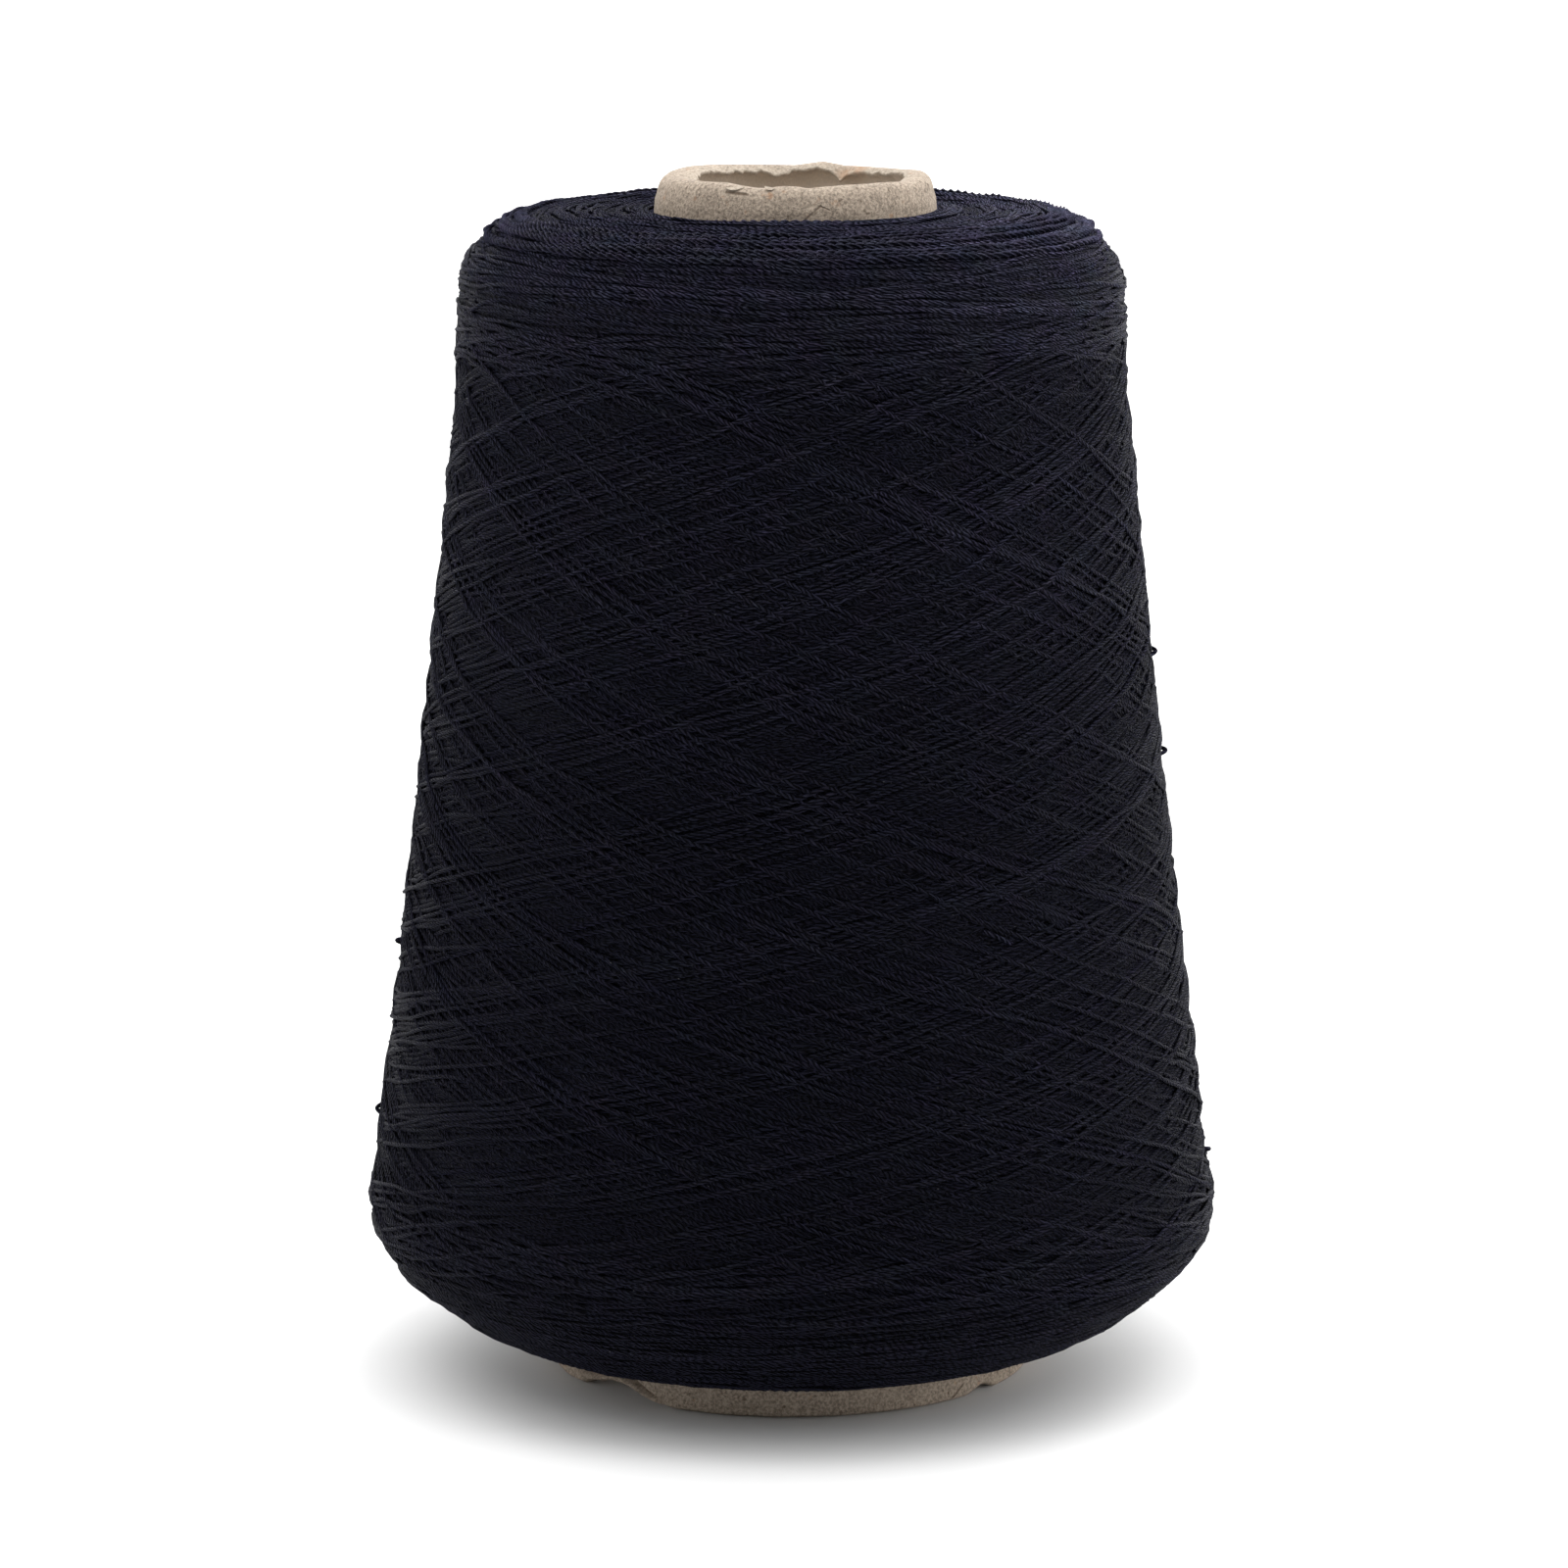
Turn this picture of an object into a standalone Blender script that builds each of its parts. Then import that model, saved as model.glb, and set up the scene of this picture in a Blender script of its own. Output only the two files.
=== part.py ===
"""Cone of thread: black twisted thread cross-wound on a hollow paper cone.

Metres, +Z up. The origin is the middle of the base ring, on the surface that
the cone stands on. The front of the object faces -Y.
"""
import math

import bmesh
import bpy
from mathutils import Vector

MM = 0.001

# Paper cone
CONE_LENGTH = 170.0 * MM
BASE_RADIUS = 34.4 * MM
NOSE_RADIUS = 19.6 * MM
WALL = 2.6 * MM
CONE_SIDES = 60

# The small end is turned inwards into a lip. Each row of the section gives how
# far a point lies inside the outer radius of the nose, and how far below its top.
LIP_EDGE_RADIUS = 14.45 * MM
LIP_SECTION = (
    # (inset, drop)
    (0.05 * MM, 2.5 * MM),
    (0.35 * MM, 1.3 * MM),
    (1.05 * MM, 0.45 * MM),
    (2.20 * MM, 0.0 * MM),
    (3.90 * MM, 0.10 * MM),
    (5.00 * MM, 0.75 * MM),
    (NOSE_RADIUS - LIP_EDGE_RADIUS, 1.60 * MM),
    (4.30 * MM, 2.60 * MM),
    (3.20 * MM, 4.20 * MM),
)
LIP_RAGGED = 0.45 * MM     # how far the torn inner edge of the lip wanders
LIP_RAGGED_REACH = 2.5 * MM
BASE_ROUND = 0.5 * MM      # worn outer and inner edges of the base ring
OUTER_ROWS = 5             # rings between the nose and the base, outside
INNER_ROWS = 4             # the same, inside

# Knocks in the two ends, by their direction (degrees from +X, so 270 is the front)
BASE_DENTS = (
    # (direction, half width, push inwards, lift)
    (224.0, 15.0, 1.6 * MM, 1.5 * MM),
    (320.0, 8.0, 0.5 * MM, 0.8 * MM),
)
BASE_DENT_REACH = 8.0 * MM
NOSE_DENTS = (
    # (direction, half width, push inwards, drop)
    (262.0, 36.0, 0.1 * MM, 0.8 * MM),
    (150.0, 22.0, 0.0 * MM, 0.4 * MM),
)
NOSE_DENT_REACH = 6.0 * MM

# Wound thread: half section from the paper cone at the bottom, out round the
# wide shoulder, up the flank, over the narrow shoulder and back to the cone.
PACKAGE_SECTION = (
    # (radius, height); the first and the last radius are worked out from the cone
    (0.0 * MM, 5.8 * MM),
    (42.6 * MM, 6.5 * MM),
    (48.6 * MM, 9.0 * MM),
    (54.2 * MM, 13.1 * MM),
    (58.5 * MM, 17.6 * MM),
    (60.2 * MM, 22.4 * MM),
    (59.3 * MM, 31.5 * MM),
    (56.1 * MM, 57.0 * MM),
    (52.9 * MM, 84.0 * MM),
    (50.1 * MM, 110.0 * MM),
    (47.4 * MM, 137.0 * MM),
    (46.6 * MM, 149.5 * MM),
    (46.6 * MM, 155.8 * MM),
    (44.4 * MM, 160.4 * MM),
    (39.8 * MM, 163.7 * MM),
    (33.5 * MM, 165.1 * MM),
    (0.0 * MM, 165.1 * MM),
)
CURVE_STEPS = 16               # short steps of the smooth curve between two rows
THREAD_CLEARANCE = 0.45 * MM   # at the corners of the bore, 0.3 mm at its flats

# The thread crosses itself in strokes that climb at a shallow angle. The rings
# of points are staggered so that the edges between them run along the strokes.
STROKES_AROUND = 36            # strokes each way that cross one ring
STROKE_CLIMB = 17.0            # degrees from level on the flank
END_FACE_STEP = 3.1 * MM       # distance between rings on the two end faces
BAND_EVERY = 3                 # every third stroke is a raised band
BAND_HEIGHT = 0.42 * MM
VALLEY_DEPTH = 0.30 * MM
FLANK_BOTTOM = 15.0 * MM       # the bands fade out past these heights
FLANK_TOP = 156.0 * MM
BAND_FADE = 9.0 * MM
TOP_LEAN = 0.20 * MM           # the upper end face rises this much towards -X
TOP_LEAN_RADIUS = 39.0 * MM    # measured at this radius
TOP_LEAN_DEPTH = 12.0 * MM     # and dies out this far below the face

PAPER_COLOUR = (0.36, 0.30, 0.23, 1.0)
THREAD_COLOUR = (0.010, 0.011, 0.015, 1.0)


def clear_scene():
    for item in list(bpy.data.objects):
        bpy.data.objects.remove(item, do_unlink=True)


def principled(name, colour, roughness):
    material = bpy.data.materials.new(name)
    material.use_nodes = True
    shader = material.node_tree.nodes["Principled BSDF"]
    shader.inputs["Base Color"].default_value = colour
    shader.inputs["Roughness"].default_value = roughness
    shader.inputs["Metallic"].default_value = 0.0
    material.diffuse_color = colour
    return material


def add_object(name, mesh, material, sharp_degrees):
    mesh.materials.append(material)
    mesh.shade_smooth()
    mesh.set_sharp_from_angle(angle=math.radians(sharp_degrees))
    item = bpy.data.objects.new(name, mesh)
    bpy.context.scene.collection.objects.link(item)
    return item


def cone_radius(height):
    """Outer radius of the paper cone at a height."""
    return BASE_RADIUS + (NOSE_RADIUS - BASE_RADIUS) * height / CONE_LENGTH


def angle_between(direction, other):
    """Smallest angle between two directions, in degrees."""
    return abs((direction - other + 180.0) % 360.0 - 180.0)


def bump(distance, half_width):
    """1 in the middle, falling smoothly to 0 at the half width."""
    if distance >= half_width:
        return 0.0
    return 0.5 + 0.5 * math.cos(math.pi * distance / half_width)


def rows_between(first, last, count):
    return [first + (last - first) * step / (count + 1) for step in range(1, count + 1)]


def cone_section():
    """Closed half section of the paper cone: down the outside, up the inside."""
    inner_edge = BASE_RADIUS - WALL
    lip_outer = [(NOSE_RADIUS - inset, CONE_LENGTH - drop) for inset, drop in LIP_SECTION]
    top_outer = lip_outer[0]
    top_inner = lip_outer[-1]
    section = list(lip_outer[::-1])
    for height in rows_between(top_outer[1], BASE_ROUND, OUTER_ROWS):
        section.append((cone_radius(height), height))
    section.append((cone_radius(BASE_ROUND), BASE_ROUND))
    section.append((BASE_RADIUS - BASE_ROUND, 0.0))
    section.append((inner_edge + BASE_ROUND, 0.0))
    section.append((inner_edge, BASE_ROUND))
    for height in rows_between(BASE_ROUND, top_inner[1] - WALL, INNER_ROWS):
        section.append((cone_radius(height) - WALL, height))
    under_lip = top_inner[1] - WALL
    section.append((cone_radius(under_lip) - WALL, under_lip))
    return section


def lip_wander(direction):
    """Torn outline of the lip's inner edge, as a share of LIP_RAGGED."""
    turn = math.radians(direction)
    return (
        0.55 * math.sin(5.0 * turn + 0.6)
        + 0.30 * math.sin(11.0 * turn + 2.1)
        + 0.15 * math.sin(17.0 * turn + 4.0)
    )


def shaped_cone_point(radius, height, direction):
    """A point of the section, moved by the torn lip and the knocks in the ends."""
    depth = CONE_LENGTH - height
    if depth < NOSE_DENT_REACH:
        share = bump(max(0.0, radius - LIP_EDGE_RADIUS), LIP_RAGGED_REACH)
        radius += LIP_RAGGED * share * lip_wander(direction)
    for centre, half_width, push, drop in NOSE_DENTS:
        share = bump(angle_between(direction, centre), half_width)
        share *= bump(depth, NOSE_DENT_REACH)
        radius -= push * share
        height -= drop * share
    for centre, half_width, push, lift in BASE_DENTS:
        share = bump(angle_between(direction, centre), half_width)
        share *= bump(max(0.0, height), BASE_DENT_REACH)
        radius -= push * share
        height += lift * share
    return radius, height


def point_at(radius, direction, height):
    turn = math.radians(direction)
    return Vector((radius * math.cos(turn), radius * math.sin(turn), height))


def build_paper_cone():
    shape = bmesh.new()
    rings = []
    for radius, height in cone_section():
        ring = []
        for side in range(CONE_SIDES):
            direction = 360.0 * side / CONE_SIDES
            placed = shaped_cone_point(radius, height, direction)
            ring.append(shape.verts.new(point_at(placed[0], direction, placed[1])))
        rings.append(ring)
    for upper, lower in zip(rings, rings[1:] + rings[:1]):
        for side in range(CONE_SIDES):
            after = (side + 1) % CONE_SIDES
            shape.faces.new((upper[side], lower[side], lower[after], upper[after]))
    mesh = bpy.data.meshes.new("paper_cone")
    shape.to_mesh(mesh)
    shape.free()
    return add_object("paper_cone", mesh, principled("recycled_board", PAPER_COLOUR, 0.9), 50.0)


def smooth_section():
    """The package's half section as a smooth curve, in many short steps."""
    corners = [Vector(corner) for corner in PACKAGE_SECTION]
    corners[0].x = cone_radius(corners[0].y) + THREAD_CLEARANCE
    corners[-1].x = cone_radius(corners[-1].y) + THREAD_CLEARANCE
    ends = [2.0 * corners[0] - corners[1]] + corners + [2.0 * corners[-1] - corners[-2]]
    curve = []
    for before, start, end, after in zip(ends, ends[1:], ends[2:], ends[3:]):
        reach = (end - start).length
        leave = (end - before) * reach / ((end - start).length + (start - before).length)
        arrive = (after - start) * reach / ((after - end).length + (end - start).length)
        for step in range(CURVE_STEPS):
            share = step / CURVE_STEPS
            square = share * share
            cube = square * share
            curve.append(
                start * (2.0 * cube - 3.0 * square + 1.0)
                + leave * (cube - 2.0 * square + share)
                + end * (3.0 * square - 2.0 * cube)
                + arrive * (cube - square)
            )
    curve.append(corners[-1])
    return curve


def flank_share(height):
    """1 on the flank, fading to 0 over the two shoulders."""
    low = min(1.0, max(0.0, (height - FLANK_BOTTOM) / BAND_FADE))
    high = min(1.0, max(0.0, (FLANK_TOP - height) / BAND_FADE))
    return min(low, high)


def package_rings():
    """Points of the section where the rings lie, each with its outward direction."""
    curve = smooth_section()
    slope = math.tan(math.radians(STROKE_CLIMB))
    counts = [0.0]
    for start, end in zip(curve, curve[1:]):
        middle = (start + end) / 2.0
        stroke_step = slope * math.pi * middle.x / STROKES_AROUND
        on_flank = flank_share(middle.y)
        step = stroke_step * on_flank + END_FACE_STEP * (1.0 - on_flank)
        counts.append(counts[-1] + (end - start).length / step)
    total = 2 * round(counts[-1] / 2.0)
    rings = []
    index = 0
    for ring in range(total + 1):
        wanted = counts[-1] * ring / total
        while index < len(curve) - 2 and counts[index + 1] < wanted:
            index += 1
        share = (wanted - counts[index]) / (counts[index + 1] - counts[index])
        place = curve[index].lerp(curve[index + 1], min(1.0, share))
        along = (curve[index + 1] - curve[index]).normalized()
        rings.append((place, Vector((along.y, -along.x))))
    return rings


def band_level(stroke):
    """Height of one stroke: every third is a raised band, some prouder than others."""
    if stroke % BAND_EVERY:
        return 0.0
    return 0.8 + 0.2 * math.cos(1.9 * stroke)


def relief(column, ring):
    """Raised bands where strokes lie, valleys in the diamonds between them."""
    rising = ((column - ring) // 2) % STROKES_AROUND
    falling = ((column + ring) // 2) % STROKES_AROUND
    level = 0.6 * max(band_level(rising), band_level(falling))
    level += 0.4 * min(band_level(rising), band_level(falling))
    return (BAND_HEIGHT + VALLEY_DEPTH) * level - VALLEY_DEPTH


def build_winding():
    shape = bmesh.new()
    rows = []
    half_turn = 180.0 / STROKES_AROUND
    top = PACKAGE_SECTION[-1][1]
    for ring, (place, outward) in enumerate(package_rings()):
        row = []
        for stroke in range(STROKES_AROUND):
            column = 2 * stroke + ring % 2
            direction = column * half_turn
            raised = relief(column, ring) * flank_share(place.y)
            radius = place.x + outward.x * raised
            height = place.y + outward.y * raised
            point = point_at(radius, direction, height)
            lean = TOP_LEAN * bump(max(0.0, top - height), TOP_LEAN_DEPTH)
            point.z -= lean * point.x / TOP_LEAN_RADIUS
            row.append(shape.verts.new(point))
        rows.append(row)
    for ring, (lower, upper) in enumerate(zip(rows, rows[1:])):
        shift = ring % 2
        for stroke in range(STROKES_AROUND):
            after = (stroke + 1) % STROKES_AROUND
            if shift:
                shape.faces.new((lower[stroke], upper[after], upper[stroke]))
                shape.faces.new((lower[stroke], lower[after], upper[after]))
            else:
                shape.faces.new((lower[stroke], lower[after], upper[stroke]))
                shape.faces.new((lower[after], upper[after], upper[stroke]))
    for stroke in range(STROKES_AROUND):
        after = (stroke + 1) % STROKES_AROUND
        shape.faces.new((rows[-1][stroke], rows[-1][after], rows[0][after], rows[0][stroke]))
    mesh = bpy.data.meshes.new("yarn_winding")
    shape.to_mesh(mesh)
    shape.free()
    return add_object("yarn_winding", mesh, principled("black_thread", THREAD_COLOUR, 0.8), 60.0)


clear_scene()
build_paper_cone()
build_winding()
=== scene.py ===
import math
import bmesh
import bpy
import numpy as np
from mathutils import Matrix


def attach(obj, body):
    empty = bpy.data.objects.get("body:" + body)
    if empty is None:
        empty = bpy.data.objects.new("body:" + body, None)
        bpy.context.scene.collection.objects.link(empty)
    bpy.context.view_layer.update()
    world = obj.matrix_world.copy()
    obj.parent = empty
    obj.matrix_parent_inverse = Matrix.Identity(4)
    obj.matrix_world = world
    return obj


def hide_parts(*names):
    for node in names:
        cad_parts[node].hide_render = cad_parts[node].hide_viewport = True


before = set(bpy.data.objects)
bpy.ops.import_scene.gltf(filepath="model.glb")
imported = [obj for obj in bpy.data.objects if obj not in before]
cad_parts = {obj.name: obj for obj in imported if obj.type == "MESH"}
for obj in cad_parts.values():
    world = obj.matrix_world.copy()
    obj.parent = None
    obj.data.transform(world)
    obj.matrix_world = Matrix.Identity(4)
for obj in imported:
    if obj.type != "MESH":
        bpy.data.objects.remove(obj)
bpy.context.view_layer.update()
scene = bpy.context.scene
mm = 0.001


def ease(t):
    t = np.clip(t, 0, 1)
    return t * t * (3 - 2 * t)


def summed(steps):
    return np.concatenate([[0], np.cumsum(steps)])


def roundPoints(radius, turn, height):
    return np.stack([radius * np.cos(turn), radius * np.sin(turn), height], -1)


def fill(made, inputs):
    # each input of a node is given a value, or the socket that feeds it
    for key, value in inputs.items():
        if hasattr(value, "links"):
            made.id_data.links.new(value, made.inputs[key])
        else:
            made.inputs[key].default_value = value


def wired(tree, kind, inputs, output=0, **settings):
    made = tree.nodes.new(kind)
    for key, value in settings.items():
        setattr(made, key, value)
    fill(made, inputs)
    return made.outputs[output]


def maths(tree, operation, *values):
    return wired(tree, "ShaderNodeMath", dict(enumerate(values)), operation=operation)


def times(tree, a, b):
    return maths(tree, "MULTIPLY", a, b)


def vectors(tree, operation, *values, output=0):
    return wired(tree, "ShaderNodeVectorMath", dict(enumerate(values)), output, operation=operation)


def scaled(tree, vector, by):
    return wired(tree, "ShaderNodeVectorMath", {0: vector, "Scale": by}, operation="SCALE")


def attributeOf(tree, name, output="Fac"):
    return wired(tree, "ShaderNodeAttribute", {}, output, attribute_name=name)


def partsOf(tree, vector):
    return wired(tree, "ShaderNodeSeparateXYZ", {0: vector}).node.outputs


def noiseOf(tree, vector, scale, detail=2.0, roughness=0.5, output="Fac"):
    return wired(tree, "ShaderNodeTexNoise",
                 {"Vector": vector, "Scale": scale, "Detail": detail, "Roughness": roughness}, output)


def spread(tree, value, low, high, toLow=0.0, toHigh=1.0, curve="LINEAR"):
    return wired(tree, "ShaderNodeMapRange", {"Value": value, "From Min": low, "From Max": high,
                                              "To Min": toLow, "To Max": toHigh}, interpolation_type=curve)


def rampOf(tree, share, stops):
    colour = wired(tree, "ShaderNodeValToRGB", {"Fac": share})
    elements = colour.node.color_ramp.elements
    elements[0].position, elements[1].position = stops[0][0], stops[-1][0]
    for position, _ in stops[1:-1]:
        elements.new(position)
    for element, (_, tone) in zip(elements, stops):
        element.color = tone + (1,)
    return colour


def bumpOf(tree, distance, height, strength=1.0):
    return wired(tree, "ShaderNodeBump", {"Strength": strength, "Distance": distance, "Height": height})


def mixOf(tree, share, a, b):
    a, b = (c + (1,) if isinstance(c, tuple) else c for c in (a, b))
    return wired(tree, "ShaderNodeMix", {0: share, 6: a, 7: b}, 2, data_type="RGBA")


def newMaterial(name):
    material = bpy.data.materials.new(name)
    material.use_nodes = True
    return material, material.node_tree, material.node_tree.nodes["Principled BSDF"]


def linked(name, data):
    made = bpy.data.objects.new(name, data)
    scene.collection.objects.link(made)
    return made


def meshObject(name, points, faces, material, smooth=True):
    mesh = bpy.data.meshes.new(name)
    mesh.from_pydata(points, [], faces)
    mesh.validate()
    for polygon in mesh.polygons:
        polygon.use_smooth = smooth
    mesh.materials.append(material)
    return linked(name, mesh)


def ringFaces(count, around):
    # closed rings of points, each joined to the next and the last to the first
    pairs = [(k * around, (k + 1) % count * around) for k in range(count)]
    return [(a + j, a + (j + 1) % around, b + (j + 1) % around, b + j) for a, b in pairs for j in range(around)]


def storeOn(mesh, name, values, kind="FLOAT"):
    # one number or one vector for each point
    key = "value" if kind == "FLOAT" else "vector"
    mesh.attributes.new(name, kind, "POINT").data.foreach_set(key, np.ravel(values))


# camera, floor and light

view = {
    "place": (-1.04, -900.0, 252.7),  # mm
    "down": 10.65,  # degrees below level
    "lens": 147.8,
}
studio = {
    "floorSize": 40.0,  # m
    "floorTone": 0.86,
    "floorDrop": 0.0002,  # m by which it lies lower than the base
    "dome": 0.06,
    # wide soft lights: direction round the object (front is 270), height and spread in degrees, strength
    "lights": {"overhead": (90, 88, 60, 0.30), "back": (90, 40, 80, 0.46), "left": (180, 35, 80, 0.62),
               "right": (0, 35, 80, 0.52), "rightLow": (350, 8, 50, 0.30), "front": (270, 60, 60, 0.40),
               "backLow": (90, 12, 60, 0.60), "backRight": (45, 20, 60, 0.45)},
}


def makeCamera(v):
    camera = linked("camera", bpy.data.cameras.new("camera"))
    camera.location = [x * mm for x in v["place"]]
    camera.rotation_euler = (math.radians(90 - v["down"]), 0, 0)
    camera.data.lens = v["lens"]
    camera.data.sensor_width = 36
    camera.data.clip_start = 0.05
    camera.data.clip_end = 50
    scene.camera = camera


def makeStudio(v):
    floorMaterial, _, shader = newMaterial("studio_floor")
    fill(shader, {"Base Color": (v["floorTone"],) * 3 + (1,), "Roughness": 0.9, "Specular IOR Level": 0.1})
    half = v["floorSize"] / 2
    floor = meshObject("floor", [(-half, -half, 0), (half, -half, 0), (half, half, 0), (-half, half, 0)],
                       [(0, 1, 2, 3)], floorMaterial, smooth=False)
    floor.location.z = -v["floorDrop"]
    scene.world = bpy.data.worlds.new("studio")
    scene.world.use_nodes = True
    fill(scene.world.node_tree.nodes["Background"], {"Color": (1, 1, 1, 1), "Strength": v["dome"]})
    for name, (direction, up, wide, strength) in v["lights"].items():
        light = bpy.data.lights.new(name, "SUN")
        light.energy = strength * math.pi
        light.angle = math.radians(wide)
        linked(name, light).rotation_euler = (0, math.radians(90 - up), math.radians(direction))
    scene.view_settings.view_transform = "Standard"


makeCamera(view)
makeStudio(studio)
print("camera, floor and light are set")


# the wound thread

winding = {
    # radius and height of its surface in mm, from the board at the base to the board at the nose
    "section": [(33.5, 5.8), (42.6, 6.5), (48.6, 9.0), (54.2, 13.1), (58.5, 17.6), (60.2, 22.4),
                (59.3, 31.5), (56.1, 57.0), (52.9, 84.0), (50.1, 110.0), (47.4, 137.0),
                (46.6, 149.5), (46.6, 155.8), (44.4, 160.4), (39.8, 163.7), (33.5, 165.1), (19.9, 165.1)],
    "thread": 0.62,  # mm across
    "plies": 4,
    "plyPitch": 4.4,  # mm for one turn of the plies
    "plyBump": 0.45,  # mm
    # its colour from the furrows to the crests of the plies, with painted shade in the furrows and a painted
    # highlight on the crests
    "plyShadeTones": ((0.25, (0.0004, 0.0004, 0.0007)), (0.60, (0.0029, 0.0027, 0.0043)),
                 (0.92, (0.0218, 0.0212, 0.0345))),
    "sheenTint": (0.50, 0.53, 1.0),
    "twistSway": 5.0,  # radians by which the twist runs ahead or behind
    # painted light, lighter up toward the top: axis, from, to in m, and how much; then the same from left to
    # right by zone
    "paintedLight": ((2, 0.080, 0.138, 0.8), (2, 0.146, 0.166, 1.20)),
    "rightPaintedLight": (0.006, 0.040),
    "tints": 0.48,  # share by which its colour wavers from spot to spot
    "tintScale": 240,
    "lint": 0.06,  # brightness of its flecks
    "liftRange": (-0.70, 0.50),  # mm below and above the level of the winding
    "depthShade": (0.56, 1.45),  # painted shade on the deepest threads and painted light on the highest, as tones
    "sideRange": (0.31, 0.68),  # how squarely the thread's side and its middle face outwards
    "sides": (0.14, 0.73),  # painted shade where a thread meets its neighbours, and the tone along its middle
    "ups": (0.06, 0.05),  # mm by which whole strokes, and stretches of them, lie higher or lower
    "slack": 0.27,  # mm by which a thread may lie under others and is still made
    "tuckedIn": 1.1,  # mm that are made past the last place where it shows
    "straight": 0.092,  # mm by which its path may be cut short between two points
    "pointGap": (0.9, 3.6),  # mm between points
    "fibreStretch": 0.55,  # of fibre marks along the thread, per mm, smaller is longer
    "fibreScale": 3.0,
    "fibreShare": 0.65,  # how much they break up the plies
    "endLayers": 8,  # spiral layers on each end face, under the strokes
    "endWander": 0.9,  # mm by which their turns sway
    "endSway": ((22.0, 0.7), (55.0, 1.3)),  # in waves of this length and share
    "evenStrokes": 350,  # up and down again, side by side all round
    "bandStrokes": 95,  # the last ones, in bands that grow sideways
    "bandsRound": 11,
    "bandStep": (0.85, 2.1),  # distance between neighbours in a band, in threads
    "bandGap": (0.10, (1.0, 6.0)),  # how often a band leaves a gap, and its width in mm
    "upAngle": (12.5, 21.0),  # degrees from level at the foot and at the top of the flank
    "downAngle": (19.0, 27.5),
    "endAngle": 4.5,
    "flank": (27.0, 145.0),  # heights between which the thread crosses at its full angle
    "shoulder": 9.5,
    "turn": (2.5, 7.0),  # mm in which a thread comes level and turns back
    "angleSpread": (0.14, 0.06),  # share by which the angle of an even and of a banded stroke varies
    "sway": ((7.0, 0.24), (26.0, 0.5), (70.0, 0.7)),  # wave length and size in mm of a thread's swaying
    "slide": (0.5, 0.25),  # how readily an even and a banded stroke slips sideways into a hollow
    "bedding": 0.42,  # share of its width by which a thread lifts the next
    "reliefShare": (0.45, 0.66),  # of the relief kept on the end faces and on the flank
    "reliefLimit": (0.30, 0.65),  # mm, below and above the surface
    "sink": 0.22,
    "bodyDepth": (0.36, 0.47),  # mm down to the body under the threads, at the ends and on the flank
    # lowest and highest top in mm, specular level, sheen, and how much painted light lightens the right side
    "zones": {"flank": (-1, 157.5, 0.025, 0.037, 0.30), "shoulder": (157.5, 163.2, 0.010, 0.040, 0.8),
              "top": (163.2, 999, 0.002, 0.040, 1.6)},
    # turns with modelled plies: radius, height, shift to the right, how many, growth in radius and height
    "rings": {"thread_nose_turns": ((19.95, 165.3, 0.50, 2.0, (0.75, -0.2)),),
              "thread_foot_turns": ((42.4, 6.60, 0.0, 4.0, (2.9, 0.95)),)},
    # plied turns round the shoulder, in mm: lowest, highest, and how far they stand up and waver
    "shoulderTurns": (161.4, 164.70, 0.12, 0.7),
    "pliedWidth": 0.70,
    "pliedPitch": 4.3,
    "plyDepth": 0.14,
    "pliedLook": (0.01, 0.052, 0.8),  # specular level, sheen, and how much painted light lightens the right side
    # slack stretches: direction, height, length, lift in mm, and slope
    "loops": ((184, 37, 3.0, 0.95, -0.5), (358, 88.5, 2.8, 0.95, 0.3), (357, 103.0, 2.8, 0.9, 0.4),
              (182, 61.0, 3.2, 0.85, 0.5), (356, 31.0, 3.0, 0.8, -0.4), (264, 122.0, 4.0, 0.6, 0.3),
              (301, 71.0, 4.5, 0.6, -0.5)),
    "deepTurns": (182, 1.24, 300),  # threads round, their slant, and marks round of the body under them
    # colour of the body from its furrows to its crests, with painted shade in the furrows
    "deepShadeTones": ((0.2, (0.0010, 0.0010, 0.0015)), (1.0, (0.0140, 0.0134, 0.0200))),
    "most": 17500,  # points in one piece, so that it stays under 200,000 triangles
    "seed": 11,
}
gridStep = 0.25  # mm between the cells of the unrolled surface
pathStep = 0.22  # mm between the points of a thread while it is laid


def smoothSection(points, step):
    p = np.array(points, float)
    p = np.vstack([2 * p[0] - p[1], p, 2 * p[-1] - p[-2]])
    t = np.linspace(0, 1, 60, endpoint=False)[:, None]
    out = []
    for i in range(1, len(p) - 2):
        a, b, c, d = p[i - 1:i + 3]
        out.append(0.5 * (2 * b + (c - a) * t + (2 * a - 5 * b + 4 * c - d) * t ** 2
                          + (3 * b - a - 3 * c + d) * t ** 3))
    out = np.vstack(out + [p[-2][None]])
    run = summed(np.hypot(*np.diff(out, axis=0).T))
    s = np.arange(0, run[-1], step)
    r, z = np.interp(s, run, out[:, 0]), np.interp(s, run, out[:, 1])
    tr, tz = np.gradient(r), np.gradient(z)
    size = np.hypot(tr, tz)
    return s, r, z, tz / size, -tr / size


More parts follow.
